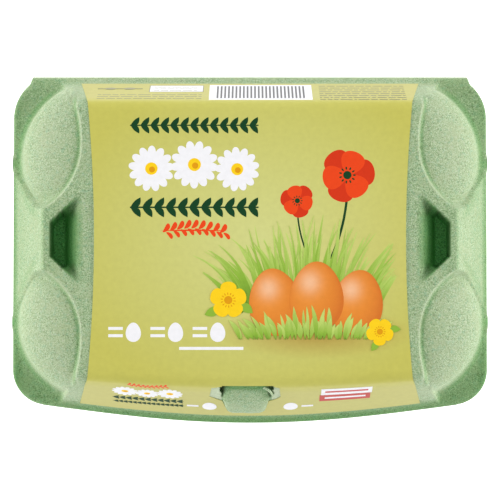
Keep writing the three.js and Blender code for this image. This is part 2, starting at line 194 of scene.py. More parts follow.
def wall_planes(x, y):
    """The heights of the back wall's plane and the front wall's over a point, carried on past their edges."""
    back = RIM_TOP_Z + (RIM_BACK - y) * WALL_HEIGHT / (RIM_BACK - TOP_BACK)
    front = RIM_TOP_Z + (y - foot_front_y(x)) * WALL_HEIGHT / (top_front_y(x) - foot_front_y(x))
    return back, front


def undulation(x, y, seed):
    """A gentle unevenness from -1 to 1: the mean of six sine waves 9 to 40 mm long, with ways from seed."""
    draw = np.random.default_rng(seed)
    total = np.zeros_like(x)
    for length in np.geomspace(9, 40, 6):
        angle, phase = draw.uniform(0, 2 * np.pi, 2)
        total += np.sin(2 * np.pi * (x * np.cos(angle) + y * np.sin(angle)) / length + phase)
    return total / 6


def dome_z(radius, shoulder):
    """A corner dome about its egg's axis: a superellipse of power 2.1 out to its shoulder, and below it a
    wall that falls steeply and flares out onto the rim, as an exponential."""
    share = held(radius / shoulder)
    crown = DOME_SHOULDER_Z + (DOME_TOP_Z - DOME_SHOULDER_Z) * np.sqrt(1 - share**2.1)
    fall = np.exp(-np.clip(radius - shoulder, 0, 40) / DOME_FLARE)
    wall = RIM_TOP_Z - 0.6 + (DOME_SHOULDER_Z - RIM_TOP_Z + 0.6) * fall
    return np.where(radius < shoulder, crown, wall)


def end_drop(x, y):
    """How far the flat top has fallen beyond the ridge at its ends: steeply at first, and then at a gentler
    slope. The ridge is a quarter circle round each corner egg's outer side, and goes on nearly straight to
    the front and back edges."""
    along = np.abs(y - ROW_MIDDLE) - BITE_CENTRE[1]
    inside = BITE_RADIUS - np.hypot(np.abs(x) - BITE_CENTRE[0], np.minimum(along, 0))
    inside = inside - RIDGE_FLARE * np.clip(along, 0, 11) ** 2
    steep = inside / math.tan(END_DRAFT)
    gentle = END_STEEP_DROP + inside / math.tan(END_LOW_DRAFT)
    return np.where(along < 0, smooth_min(steep, gentle, 3.0), steep)


def flat_top_z(x, y):
    """The flat-topped prism: the lowest of its top and its four leaning walls, less its drop at the ends."""
    end = RIM_TOP_Z + (FOOT_HALF_LENGTH - np.abs(x)) * WALL_HEIGHT / (FOOT_HALF_LENGTH - TOP_HALF_LENGTH)
    z = smooth_min(np.full_like(x, TOP_Z), smooth_min(*wall_planes(x, y), 3.0), 6.2)
    z = smooth_min(z, end, 1.3)
    return smooth_min(z, TOP_Z + 0.45 - end_drop(x, y), 1.2)


def slot_z(x, y):
    """The finger slot: the highest of a steep outer wall, two slanting walls that lean back further inwards,
    a floor, a ramp up to either end, and an inner side that rolls down from the flat top as a fourth power.
    Everywhere outside it is far above the lid."""
    ax = np.abs(x)
    ay = np.abs(y - ROW_MIDDLE)
    outer = TOP_Z - (SLOT_OUTER - ax) / math.tan(SLOT_DRAFT)
    draft = np.radians(0.6 + 30 * held((57.5 - ax) / 6))
    outside = (ax - SLOT_OUTER) * SLOT_SLANT[0] + (ay - SLOT_HALF_WIDTH) * SLOT_SLANT[1]
    slanting = TOP_Z + outside / np.tan(draft)
    inward = np.clip((ax - SLOT_INNER) / SLOT_ROLL, -1, 1.2)
    roll = np.where(inward > 0, TOP_Z - SLOT_DEPTH * inward**4, TOP_Z - 14 * inward)
    ramp = TOP_Z + 0.6 - (SLOT_DEPTH + 0.6) * held((SLOT_END - ay) / SLOT_RAMP)
    walls = smooth_max(smooth_max(outer, slanting, 4.0), roll, 3.0)
    return smooth_max(walls, ramp, 5.0)


def tab_pocket_z(x, y):
    """The opening for the closing tab: a floor behind the front wall, with upright sides, open in front."""
    half = OPENING_HALF_WIDTH - 0.12 * np.clip(TOP_FRONT - y, 0, None) + 0.7 * undulation(3 * x, 6 * y, 2)
    inside = np.minimum(half - np.abs(x - OPENING_X), front_wall_y(x, TOP_Z) - 0.1 - y)
    return OPENING_FLOOR_Z + 40 * np.clip(-inside, 0, None)


def rim_ribs(x, y):
    """Two small ribs across the rim beside each dome, either side of its lug: 1 on the outer one and 0.6 on
    the inner one, each a flat-topped bell."""
    ay = np.abs(y - ROW_MIDDLE)
    ribs = bell(ay - 27.4, 0.9, 4) + 0.6 * bell(ay - 22.7, 0.9, 4)
    return ribs * held(np.abs(x) - 69)


def edge_roll(inset):
    """How far a face has turned away at a distance inside the rim's edge: a quarter circle."""
    return RIM_EDGE - np.sqrt(RIM_EDGE**2 - np.clip(RIM_EDGE - inset, 0, RIM_EDGE) ** 2)


def lid_z(x, y):
    """The lid's outer face: the smooth union of the rim, the flat-topped prism and four domes, less the slots
    and the opening for the tab, with two small ribs across the rim beside each dome, and gently uneven."""
    z = flat_top_z(x, y)
    behind_walls = smooth_min(*wall_planes(x, y), 1.0) + 4 * np.clip(np.abs(x) - 55, 0, None)
    for centre_x, centre_y, shoulder in DOMES:
        dome = dome_z(np.hypot(np.abs(x) - centre_x, y - centre_y), shoulder)
        z = smooth_max(z, smooth_min(dome, behind_walls, 3.0), 1.6)
    rim = np.full_like(x, RIM_TOP_Z) + 0.25 * undulation(x, y, 4)
    z = smooth_max(z, rim + 1.5 * rim_ribs(x, y), 3.0)
    z = smooth_min(z, slot_z(x, y), 1.0)
    z = smooth_min(z, tab_pocket_z(x, y), 0.5)
    label_covers = held((52 - np.abs(x)) / 4)
    z = z + 0.22 * undulation(x, y, 7) * (1 - 0.8 * label_covers)
    return z - edge_roll(rim_inset(x, y))


def lid_painted_shading(x, y, z):
    """The lid's painted shading, from 0 to 1 as painted shade and below 0 as painted light. Painted shade
    lies on the rim, more so towards the front and at its ends, in the grooves at the domes' feet, at the feet
    of the end walls, on the flat top beside the label and down the fall at its ends, in the finger slots,
    more so the further out, and in the opening behind the tab. Painted light lies on the domes' crowns, along
    the ridge above that fall as a painted highlight, and on the front and back walls."""
    ax = np.abs(x)
    ay = np.abs(y - ROW_MIDDLE)
    # Painted shade on the rim, where the domes and walls keep light off it.
    low = np.interp(y, (-53.5, -49, 0, 45), (0.5, 0.4, 0.33, 0.22)) + 0.12 * held((ax - 71) / 2)
    low = low * held((43 - z) / 5)
    low = low * np.where(y > 44, np.clip((ax - 48) / 16, 0.15, 1), 1) * (1 - 0.6 * held(rim_ribs(x, y)))
    low = low + 0.12 * bell(ay - 25, 1.5, 4) * held(ax - 70)
    # Painted shade down the fall at the ends, and a painted highlight along the ridge above it.
    drop = end_drop(x, y)
    edge = 0.3 * bell(drop - 5, 2.5) - 0.3 * bell(drop - 0.4, 1.4)
    edge = edge * held((z - 57) / 8) * held((63 - ax) / 1.5)
    flat = (0.06 + 0.08 * held((ax - 57.5) / 2)) * held((z - 65.5) / 1.5)
    # Painted shade in the grooves round the domes' feet, and painted light round their crowns.
    groove = np.zeros_like(x)
    crown = np.zeros_like(x)
    for centre_x, centre_y, shoulder in DOMES:
        radius = np.hypot(ax - centre_x, y - centre_y)
        groove = np.maximum(groove, bell(radius - shoulder - 2.6, 1.3))
        crown = np.maximum(crown, bell(radius - 17, 6.5) * held((ax - 53) / 3))
    groove = 0.42 * groove * held((64 - z) / 6) * np.clip((ay - 14) / 10, 0.4, 1)
    groove = groove * held((ax - 58) / 5)
    foot = 0.08 * held((54 - z) / 10) * held((18 - ay) / 3) * (ax > 60)
    # Painted light on the front and back walls, stronger beside the tab.
    wall = held((ay - 43) / 3) * held((z - 42) / 4) * held((68 - z) / 3)
    # Painted shade in the finger slots, more so further out and lower down, and in the opening behind the
    # tab.
    outward = np.interp(ax, (49.6, 52.4, 54.3, 56.0), (0, 0.36, 0.66, 1))
    slot = np.minimum(outward * np.clip((12.5 - ay) / 5.5, 0.55, 1), 0.55 + held((TOP_Z - 3 - z) / 10))
    slot = slot * held((TOP_Z - slot_z(x, y)) / 0.3)
    pocket = held((TOP_Z - 5 - tab_pocket_z(x, y)) / 5) * (y > front_wall_y(x, 50.0))
    # Painted light on the crowns and the walls, taken off the painted shade.
    painted_light = 0.11 * crown * held((67.5 - z) / 1.5) + np.where((y < 0) & (ax < 20), 0.5, 0.15) * wall
    surface = np.maximum(np.maximum(low, groove), foot) + flat + edge - painted_light
    cut = np.maximum(slot, 0.2 * pocket)
    return np.where(cut > 0, np.maximum(surface, cut), surface)


def spread(breaks, steps):
    """Positions along a line: between each pair of breaks, a number of equal steps."""
    parts = [np.linspace(a, b, n, endpoint=False) for a, b, n in zip(breaks, breaks[1:], steps)]
    return np.concatenate(parts + [[breaks[-1]]])


def rim_grid(columns, rows):
    """A grid that fills the rim: columns are places along X, and along each of them the rows run from the
    front edge to the back edge as shares of the way. Small lugs push its ends out beside the end eggs."""
    x, share = np.meshgrid(columns, rows, indexing="ij")
    y = rim_front_y(x) + share * (rim_back_y(x) - rim_front_y(x))
    for row in ROWS:
        x = x + 0.3 * np.sign(x) * bell(y - row, 2.2, 4) * held((np.abs(x) - 73.2) / 1.5)
    return x, y


def add_mesh(name, vertices, faces, material, painted_shading=None):
    """A new object whose place is in its mesh: vertices in millimetres and a list of faces, shaded smooth
    except over sharp edges. painted_shading is kept on each point for the pulp's colour: painted shade above
    0 and painted light below it."""
    mesh = bpy.data.meshes.new(name)
    mesh.from_pydata((np.asarray(vertices) * 0.001).tolist(), [], faces)
    mesh.polygons.foreach_set("use_smooth", np.full(len(mesh.polygons), True))
    mesh.set_sharp_from_angle(angle=math.radians(50))
    if painted_shading is not None:
        values = np.broadcast_to(np.asarray(painted_shading, np.float32), len(mesh.vertices))
        mesh.attributes.new("painted_shading", "FLOAT", "POINT").data.foreach_set("value", np.ascontiguousarray(values))
    mesh.materials.append(material)
    mesh.update()
    piece = bpy.data.objects.new(name, mesh)
    bpy.context.scene.collection.objects.link(piece)
    return piece


def quads(rows, columns, start=0):
    """The faces of a grid of rows by columns points whose X, Y and normal turn counter-clockwise."""
    corner = start + np.arange(rows - 1)[:, None] * columns + np.arange(columns - 1)[None, :]
    around = np.stack([corner, corner + columns, corner + columns + 1, corner + 1], axis=-1)
    return around.reshape(-1, 4)


def border_of(index):
    """A grid's border, once round and counter-clockwise."""
    return np.concatenate([index[:-1, 0], index[-1, :-1], index[:0:-1, -1], index[0, :0:-1]])


def band(first, second):
    """The faces between two closed rings of points, the second under the first."""
    return np.stack([first, second, np.roll(second, -1), np.roll(first, -1)], axis=-1)


def moulding(name, x, y, z, far_z, painted_shading, material, lower=False):
    """A closed solid between a height field on a rim grid and a flat face at far_z: the field's border goes
    straight to the flat face, whose single face closes it. With lower, the field is the underside and the
    flat face the top."""
    n, m = x.shape
    border = border_of(np.arange(n * m).reshape(n, m))
    field = at(x, y, z).reshape(-1, 3)
    middle = field[border].copy()
    middle[:, 2] = (middle[:, 2] + far_z) / 2
    far = field[border].copy()
    far[:, 2] = far_z
    count = len(border)
    ring = n * m + np.arange(count)
    faces = [quads(n, m), band(border, ring), band(ring, ring + count)]
    if lower:
        faces = [f[:, ::-1] for f in faces]
        cap = (ring + count).tolist()
    else:
        cap = (ring + count)[::-1].tolist()
    face_list = np.concatenate(faces).tolist() + [cap]
    edge_painted_shading = painted_shading.reshape(-1)[border]
    painted_shading = np.concatenate([painted_shading.reshape(-1), edge_painted_shading, edge_painted_shading])
    return add_mesh(name, np.concatenate([field, middle, far]), face_list, material, painted_shading)


def wired(tree, node, sockets):
    """A node with each of its sockets set to a value, or linked where it is given another node's output."""
    for socket, value in sockets.items():
        if isinstance(value, bpy.types.NodeSocket):
            tree.links.new(value, node.inputs[socket])
        else:
            node.inputs[socket].default_value = value
    return node


def new_node(tree, kind, sockets, **settings):
    """A new node of a kind, with its settings made and its sockets wired."""
    node = tree.nodes.new(kind)
    for setting, value in settings.items():
        setattr(node, setting, value)
    return wired(tree, node, sockets)


def plain_material(name, roughness, specular):
    """A new material with its surface's roughness and specular level: the material, its node tree, its shader
    and the piece's own coordinates."""
    material = bpy.data.materials.new(name)
    material.use_nodes = True
    tree = material.node_tree
    shader = tree.nodes["Principled BSDF"]
    wired(tree, shader, {"Roughness": roughness, "Specular IOR Level": specular})
    return material, tree, shader, tree.nodes.new("ShaderNodeTexCoord").outputs["Object"]


def between(tree, value, low, high, to_low=0.0, to_high=1.0):
    """A value's place between low and high, as one between to_low and to_high and no further."""
    sockets = {"Value": value, "From Min": low, "From Max": high, "To Min": to_low, "To Max": to_high}
    return new_node(tree, "ShaderNodeMapRange", sockets).outputs["Result"]


def mixed(tree, factor, a, b, blend="MIX"):
    """Two colours mixed or multiplied by a factor, each a triple or a node's output."""
    a, b = ((*colour, 1) if isinstance(colour, tuple) else colour for colour in (a, b))
    sockets = {"Factor": factor, "A": a, "B": b}
    return new_node(tree, "ShaderNodeMix", sockets, data_type="RGBA", blend_type=blend).outputs["Result"]


def bump(tree, height, strength, distance):
    """The surface's normal, tilted as if it rose and fell with a height."""
    sockets = {"Height": height, "Strength": strength, "Distance": distance}
    return new_node(tree, "ShaderNodeBump", sockets).outputs["Normal"]


def pulp_material(name):
    """Dried paper pulp: green fibre, mottled over a few millimetres and grainy below one, with scattered dark
    and pale specks of other fibre, and a bump of the same grain. Its points carry painted shading: painted
    shade, darker and greener in the deepest hollows where green light bounces, and painted light, paler,
    where it is below 0."""
    material, tree, shader, place = plain_material(name, 0.9, 0.25)

    def noise(scale, detail, roughness, offset=0.0):
        shift = {"Vector": place, "Location": (offset, offset * 0.7, offset * 0.3)}
        shifted = new_node(tree, "ShaderNodeMapping", shift).outputs["Vector"]
        sockets = {"Vector": shifted, "Scale": scale, "Detail": detail, "Roughness": roughness}
        return new_node(tree, "ShaderNodeTexNoise", sockets).outputs["Fac"]

    grain = noise(2700, 3, 0.8)
    felt = noise(850, 4, 0.65, 0.3)
    colour = mixed(tree, between(tree, grain, 0.38, 0.62), PULP_DARK, PULP_LIGHT)
    for pattern, low, high, most, tint in (
        (noise(150, 3, 0.6, 0.7), 0.45, 0.68, 0.5, WARM_MOTTLE),
        (felt, 0.52, 0.68, 0.5, COOL_FELT),
        (noise(1500, 2, 0.6, 1.1), 0.60, 0.68, 0.55, PALE_SPECK),
        (noise(1400, 2, 0.6, 1.9), 0.61, 0.69, 0.65, DARK_SPECK),
    ):
        colour = mixed(tree, between(tree, pattern, low, high, 0.0, most), colour, tint)
    # Painted light and painted shade from the points' painted shading: paler below 0, darker up to 0.5, and
    # darker and greener up to 1.
    painted_shading = new_node(tree, "ShaderNodeAttribute", {}, attribute_name="painted_shading").outputs["Fac"]
    colour = mixed(tree, between(tree, painted_shading, 0.0, -1.0), colour, PAINTED_LIGHT_TINT)
    colour = mixed(tree, between(tree, painted_shading, 0.0, 0.5), colour, SHADE_TINT, "MULTIPLY")
    colour = mixed(tree, between(tree, painted_shading, 0.5, 1.0), colour, DEEP_SHADE_TINT, "MULTIPLY")

    heights = {0: felt, 1: between(tree, grain, 0.0, 1.0, 0.0, 0.5)}
    height = new_node(tree, "ShaderNodeMath", heights, operation="ADD").outputs["Value"]
    wired(tree, shader, {"Base Color": colour, "Normal": bump(tree, height, 0.45, 0.0005)})
    return material


PULP = pulp_material("green_pulp")
ends = spread((46.0, 50.0, 74.2, 74.62, RIM_HALF_LENGTH), (12, 82, 3, 2))
lid_columns = np.concatenate([-ends[::-1], spread((-46, -13, 11, 46), (22, 80, 24))[1:-1], ends])
lid_x, lid_y = rim_grid(lid_columns, spread((0, 0.012, 0.16, 0.988, 1), (4, 48, 238, 4)))
lid_height = lid_z(lid_x, lid_y)
lid = moulding("pulp_lid", lid_x, lid_y, lid_height, LID_BASE_Z, lid_painted_shading(lid_x, lid_y, lid_height), PULP)
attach(lid, "root")
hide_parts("lid")

# The tray
# The lower half of the same green pulp: six round cups that taper to flat bottoms, joined by a shallow tub,
# with two hollow posts between the cups, open from below, that part one tray from the next in a stack.

TRAY_TOP_Z = 35.85
RIM_UNDER_Z = 33.85
CUP_BOTTOM = 15.5
CUP_TOP = 25.3
CUP_SWELL = 0.7
TUB_FLOOR_Z = 18.0
TUB_INSET = 2.0
TUB_WALL_RUN = 8.0
POST_BASE = 9.5
POST_TIP_Z = 31.0
POST_WALL_RUN = 5.0


def cup_z(radius):
    """A cup from outside: a flat foot with a faint hollow in its middle, a round edge, and a wall whose
    radius grows as the 0.7th power of its height."""
    share = np.clip((radius - CUP_BOTTOM) / (CUP_TOP - CUP_BOTTOM), 0, 3)
    wall = TRAY_TOP_Z * share ** (1 / CUP_SWELL)
    edge = 3.0 * (1 - np.sqrt(1 - held((radius - CUP_BOTTOM + 3) / 4.2) ** 2))
    hollow = 0.5 * held((8.5 - radius) / 1.5)
    return np.maximum(np.where(radius < CUP_BOTTOM + 0.6, edge, 0), wall) + hollow


def tray_z(x, y):
    """The tray's underside: the lowest of the rim, the tub with its posts raised, and the six cups."""
    inset = rim_inset(x, y)
    tub_wall = RIM_UNDER_Z - (inset - TUB_INSET) * (RIM_UNDER_Z - TUB_FLOOR_Z) / TUB_WALL_RUN
    tub = np.maximum(tub_wall, TUB_FLOOR_Z)
    for post in (-COLUMN_PITCH / 2, COLUMN_PITCH / 2):
        radius = np.hypot(x - post, y - ROW_MIDDLE)
        cone = TUB_FLOOR_Z + (POST_BASE - radius) * (POST_TIP_Z - TUB_FLOOR_Z) / POST_WALL_RUN
        tub = smooth_max(tub, np.minimum(cone, POST_TIP_Z), 1.5)
    z = smooth_min(tub, np.full_like(x, RIM_UNDER_Z), 2.0)
    for column in (-COLUMN_PITCH, 0.0, COLUMN_PITCH):
        for row in ROWS:
            z = smooth_min(z, cup_z(np.hypot(x - column, y - row)), 2.0)
    z = z + 0.15 * undulation(x, y, 11) * held(z / 4)
    return np.maximum(z, 0) + edge_roll(inset)


tray_columns = spread((-RIM_HALF_LENGTH, -74.0, 74.0, RIM_HALF_LENGTH), (4, 280, 4))
tray_x, tray_y = rim_grid(tray_columns, spread((0, 0.012, 0.988, 1), (4, 210, 4)))
# Painted shade: the whole tray is evenly darker, a quarter of the way to the shade tint.
tray_painted_shading = np.full_like(tray_x, 0.25)
tray = moulding("pulp_tray", tray_x, tray_y, tray_z(tray_x, tray_y), TRAY_TOP_Z, tray_painted_shading, PULP, lower=True)
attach(tray, "root")
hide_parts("tray")

# The hinge
# A strip of the same pulp along the back edge that joins the lid to the tray. It is moulded flat in one piece
# with them, creased, and folded over as the lid is shut.

HINGE_OUT = 54.7
HINGE_HALF_LENGTH = 68.7
HINGE_SPLAY = 1.4
HINGE_INNER = 48.0
HINGE_DEPTH = 4.2
# Painted light: the hinge is a little paler than the pulp round it.
HINGE_PAINTED_SHADING = -0.08
FOLD_MIDDLE_Z = 36.0
FOLD_RADII = (1.9, 2.0)


def hinge_section():
    """The strip's section as points of Y and Z: a web between the two rims and a half-round fold behind."""
    turn = np.linspace(-np.pi / 2, np.pi / 2, 13)
    fold = at(RIM_BACK - 0.1 + FOLD_RADII[0] * np.cos(turn), FOLD_MIDDLE_Z + FOLD_RADII[1] * np.sin(turn))
    under = [[HINGE_INNER, 34.6], [RIM_BACK - 1.2, 34.3]]
    over = [[RIM_BACK - 1.2, 37.7], [HINGE_INNER, 37.4]]
    return np.concatenate([under, fold, over])


def strip_along_x(section, half_at, steps):
    """A section carried along X: half_at gives how far each of its points reaches to either side."""
    share = np.linspace(-1, 1, steps)[:, None]
    x = share * half_at(section)
    y, z = section.T
    return at(x, y, z + 0.12 * undulation(x, y, 3))


def closed_strip(name, points, material, painted_shading):
    """A closed solid from a grid whose rows are steps along the strip and whose columns go round it."""
    steps, around = points.shape[:2]
    ring = np.arange(around)
    following = np.roll(ring, -1)
    starts = np.arange(steps - 1)[:, None] * around
    here, beside = starts + ring, starts + following
    faces = np.stack([here, beside, beside + around, here + around], axis=-1)
    last = (steps - 1) * around
    ends_closed = [ring[::-1].tolist(), (last + ring).tolist()]
    return add_mesh(name, points.reshape(-1, 3), faces.reshape(-1, 4).tolist() + ends_closed, material, painted_shading)


def hinge_reach(section):
    """Half of the strip's length at each point of its section: its ends lean out to the carton's corners."""
    return HINGE_HALF_LENGTH + HINGE_SPLAY * (HINGE_OUT - section[:, 0]) / HINGE_DEPTH


hinge_points = strip_along_x(hinge_section(), hinge_reach, 240)
hinge = closed_strip("pulp_hinge", hinge_points, PULP, HINGE_PAINTED_SHADING)
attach(hinge, "root")
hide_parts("hinge")

# The closing tab
# A tongue of pulp that stands up from the tray's front edge and hooks through the opening in the lid's front
# wall. Its top goes in under the lid's edge, and its lower end lies proud of the wall.

TAB_X = -1.3
TAB_LOW_Z = 45.2
TAB_WIDEST_Z = 56.5
TAB_TOP_Z = 65.6
TAB_HALF_WIDTHS = (5.9, 7.2, 5.6)


def tab_half_width(z):
    """Half of the tab's width: it narrows in straight lines from its widest place to either end."""
    return np.interp(z, (TAB_LOW_Z, TAB_WIDEST_Z, TAB_TOP_Z), TAB_HALF_WIDTHS)


def tab_out(z):
    """How far the tab's face stands out from the wall: proud low down, and sunk behind it towards the top."""
    return np.interp(z, (TAB_LOW_Z, 46.4, 49, 57, 62, TAB_TOP_Z), (0.2, 1.3, 1.7, 1.5, 0.1, -2.0))


def tab_face(back):
    """The tab as a cushion on a grid of width and height shares: its face is pressed back towards its sides
    as an eighth power and towards its ends as a sixteenth. With back, the same outline lies deep behind the
    wall."""
    across, up = np.meshgrid(np.linspace(-1, 1, 41), np.linspace(0, 1, 61), indexing="ij")
    z = TAB_LOW_Z + up * (TAB_TOP_Z - TAB_LOW_Z)
    x = TAB_X + across * tab_half_width(z)
    wall = front_wall_y(x, z)
    if back:
        return at(x, np.minimum(wall + 0.2 + 5 * held((z - TAB_WIDEST_Z) / 2), -41.0), z)
    pressed = 1.3 * np.abs(across) ** 8 + 0.9 * np.abs(2 * up - 1) ** 16
    return at(x, wall - tab_out(z) + pressed - 0.12 * undulation(x * 3, z * 3, 5), z)


def pair_faces(n, m):
    """The faces of a closed solid between two grids of n by m points, the first over the second."""
    border = border_of(np.arange(n * m).reshape(n, m))
    return np.concatenate([quads(n, m), quads(n, m, n * m)[:, ::-1], band(border, border + n * m)])


tab_points = np.stack([tab_face(False), tab_face(True)])
tab_faces = pair_faces(*tab_points.shape[1:3]).tolist()
tab_up = (tab_points[..., 2] - TAB_LOW_Z) / (TAB_TOP_Z - TAB_LOW_Z)
# Painted shading on the tab: painted light low down, and painted shade in a line under the lid's edge at its
# top and in its upper corners.
tab_side = held(np.abs(tab_points[..., 0] - TAB_X) / 7 - 0.6) * held(2 * tab_up - 0.9)
tab_painted_shading = np.interp(tab_up, (0, 0.2, 0.7, 0.84, 0.88), (-0.2, -0.08, 0.04, 0.14, 0.5)) + tab_side
tab_painted_shading = np.minimum(tab_painted_shading, 0.5)
tab = add_mesh("pulp_closing_tab", tab_points.reshape(-1, 3), tab_faces, PULP, tab_painted_shading.reshape(-1))
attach(tab, "root")
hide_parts("closing_tab")


def shred_face(back):
    """A shred of pulp torn up beside the tab, on a grid of length and width shares: it goes sideways as a
    quarter sine wave while it falls, widest in the middle as a parabola. With back, it lies 0.4 mm behind."""
    along, across = np.meshgrid(np.linspace(0, 1, 25), np.linspace(-1, 1, 5), indexing="ij")
    half = 0.1 + 1.1 * along * (1 - along) * (1 + 0.5 * undulation(14 * along, across, 8))
    x = 4.0 + 3.0 * np.sin(np.pi / 2 * along) ** 0.8 + 0.8 * half * across
    z = 66.4 - 8.8 * along**2 + 0.9 * half * across
    out = np.where(back, -0.4, -0.8) - 0.5 * np.sin(np.pi * along) + 0.2 * across**2
    return at(x, front_wall_y(x, z) + out, z)


shred_points = np.stack([shred_face(False), shred_face(True)])
shred_faces = pair_faces(*shred_points.shape[1:3]).tolist()
shred = add_mesh("pulp_shred", shred_points.reshape(-1, 3), shred_faces, PULP, -0.1)
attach(shred, "root")

# The label
# One sheet of coated paper, folded down over the lid's back and front edges and glued. It is printed
# yellow-green all over, paler in the middle, and cut out round the closing tab.

LABEL_LIFT = 0.2
CREASE_RADIUS = 4.0
HEM_Z = 41.2
WAIST = 47.4
CREASE_HALF = 49.4
HEM_HALF = 53.3
LABEL_MIDDLE = 1.2
CREASE_REACH = 42.2
WALL_REACH = 29.5
PAPER_THICKNESS = 0.15

LABEL_EDGE = (0.52, 0.50, 0.105)
LABEL_GLOW = (0.60, 0.62, 0.235)
# Painted sheen on the paper down the walls.
LABEL_WALL_SHEEN = (0.52, 0.50, 0.165)
LABEL_SHADOW = (0.40, 0.25, 0.045)


def crease(x, back):
    """A crease's turn, from the wall's run and its height, and how far out along the sheet its arc starts. It
    follows the lid's edge, straight at the back and bowed at the front."""
    run = RIM_BACK - TOP_BACK if back else top_front_y(x) - foot_front_y(x)
    turn = np.arctan2(WALL_HEIGHT, run) + np.zeros_like(x)
    corner = np.abs(TOP_BACK if back else top_front_y(x)) + LABEL_LIFT * np.tan(turn / 2)
    return turn, corner - CREASE_RADIUS * np.tan(turn / 2)


def sheet_point(x, v, lift=0.0):
    """A point of the folded sheet, where x is across it and v is the distance along it, equal to Y on the
    top. The sheet is flat, turns over each crease on an arc, and then runs straight down the wall. lift
    raises it along its normal."""
    x, v = np.broadcast_arrays(np.asarray(x, float), np.asarray(v, float))
    point = at(x, v, TOP_Z + LABEL_LIFT)
    normal = np.zeros_like(point)
    normal[..., 2] = 1
    for back, sign in ((True, 1), (False, -1)):
        turn, start = crease(x, back)
        past = np.clip(sign * v - start, 0, None)
        bent = np.minimum(past / CREASE_RADIUS, turn)
        straight = np.clip(past - CREASE_RADIUS * turn, 0, None)
        out = start + CREASE_RADIUS * np.sin(bent) + straight * np.cos(turn)
        down = CREASE_RADIUS * (1 - np.cos(bent)) + straight * np.sin(turn)
        on = past > 0
        point[..., 1] = np.where(on, sign * out, point[..., 1])
        point[..., 2] = np.where(on, TOP_Z + LABEL_LIFT - down, point[..., 2])
        normal[..., 1] = np.where(on, sign * np.sin(bent), normal[..., 1])
        normal[..., 2] = np.where(on, np.cos(bent), normal[..., 2])
    return point + normal * np.asarray(lift)[..., None]


def hem_v(x, back, z=HEM_Z):
    """The distance along the sheet at which a wall reaches height z."""
    turn, start = crease(x, back)
    fall = TOP_Z + LABEL_LIFT - CREASE_RADIUS * (1 - np.cos(turn)) - z
    return (1 if back else -1) * (start + CREASE_RADIUS * turn + fall / np.sin(turn))


def sheet_half_width(v):
    """Half of the sheet's width: a parabola between the creases, narrowest in the middle, then straight."""
    away = np.abs(v - LABEL_MIDDLE)
    beyond = np.clip(away - CREASE_REACH, 0, None)
    waist = WAIST + (CREASE_HALF - WAIST) * held(away / CREASE_REACH) ** 2
    return waist + (HEM_HALF - CREASE_HALF) * beyond / WALL_REACH


CUTOUT_Z = (45.1, 54.3, 55.4, 57.8, 65.6, 66.3, 68.2)
CUTOUT_LEFT = (-7.0, -8.6, -9.9, -12.5, -11.7, -8.6, -8.5)
CUTOUT_RIGHT = (4.5, 5.8, 7.7, 9.4, 9.0, 7.2, 7.0)
CUTOUT_TOP_Z = 66.9
SIDE_COLUMNS = 45
CUTOUT_COLUMNS = 16


def label_grid():
    """The sheet on a grid whose rows go from the front hem to the back hem and whose columns go across, with
    two of the columns following the cut-out's sides, and which faces the cut-out leaves open."""
    middle_x = np.full(1, OPENING_X)
    low_v, high_v = (hem_v(middle_x, False, z)[0] for z in (CUTOUT_Z[0], CUTOUT_TOP_Z))
    front, back = hem_v(np.zeros(1), False)[0], hem_v(np.zeros(1), True)[0]
    rows = spread((front, low_v, high_v, -32, 38, 50, back), (12, 46, 24, 50, 24, 44))
    z_here = sheet_point(np.full_like(rows, OPENING_X), rows)[:, 2]
    in_front = rows < 0
    left = np.where(in_front, np.interp(z_here, CUTOUT_Z, CUTOUT_LEFT), CUTOUT_LEFT[-1])
    right = np.where(in_front, np.interp(z_here, CUTOUT_Z, CUTOUT_RIGHT), CUTOUT_RIGHT[-1])
    half = sheet_half_width(rows)
    sides = np.linspace(0, 1, SIDE_COLUMNS + 1)
    inner = np.linspace(0, 1, CUTOUT_COLUMNS + 1)[1:-1]
    stretches = ((-half, left, sides), (left, right, inner), (right, half, sides))
    parts = [start[:, None] + share * (end - start)[:, None] for start, end, share in stretches]
    x = np.concatenate(parts, axis=1)
    near_front = held((-rows - 38) / 12)[:, None]
    v = rows[:, None] + near_front * (hem_v(x, False) - front)
    in_cut = (rows[:-1] >= low_v - 1e-6) & (rows[1:] <= high_v + 1e-6)
    open_columns = np.arange(SIDE_COLUMNS, SIDE_COLUMNS + CUTOUT_COLUMNS)
    open_faces = np.zeros((len(rows) - 1, x.shape[1] - 1), bool)
    open_faces[np.ix_(in_cut, open_columns)] = True
    return x, v, open_faces


def coated_paper(name, specular, colour_of):
    """Coated paper with ink on it, faintly uneven and slightly glossy. colour_of makes its colour, as a
    node's output, from the material's tree and the piece's own coordinates."""
    material, tree, shader, place = plain_material(name, 0.55, specular)
    fine = {"Vector": place, "Scale": 600, "Detail": 3}
    fibre = new_node(tree, "ShaderNodeTexNoise", fine).outputs["Fac"]
    tones = {"Vector": colour_of(tree, place), "Scale": between(tree, fibre, 0.0, 1.0, 0.93, 1.07)}
    toned = new_node(tree, "ShaderNodeVectorMath", tones, operation="SCALE").outputs["Vector"]
    wired(tree, shader, {"Base Color": toned, "Normal": bump(tree, fibre, 0.08, 0.0002)})
    return material


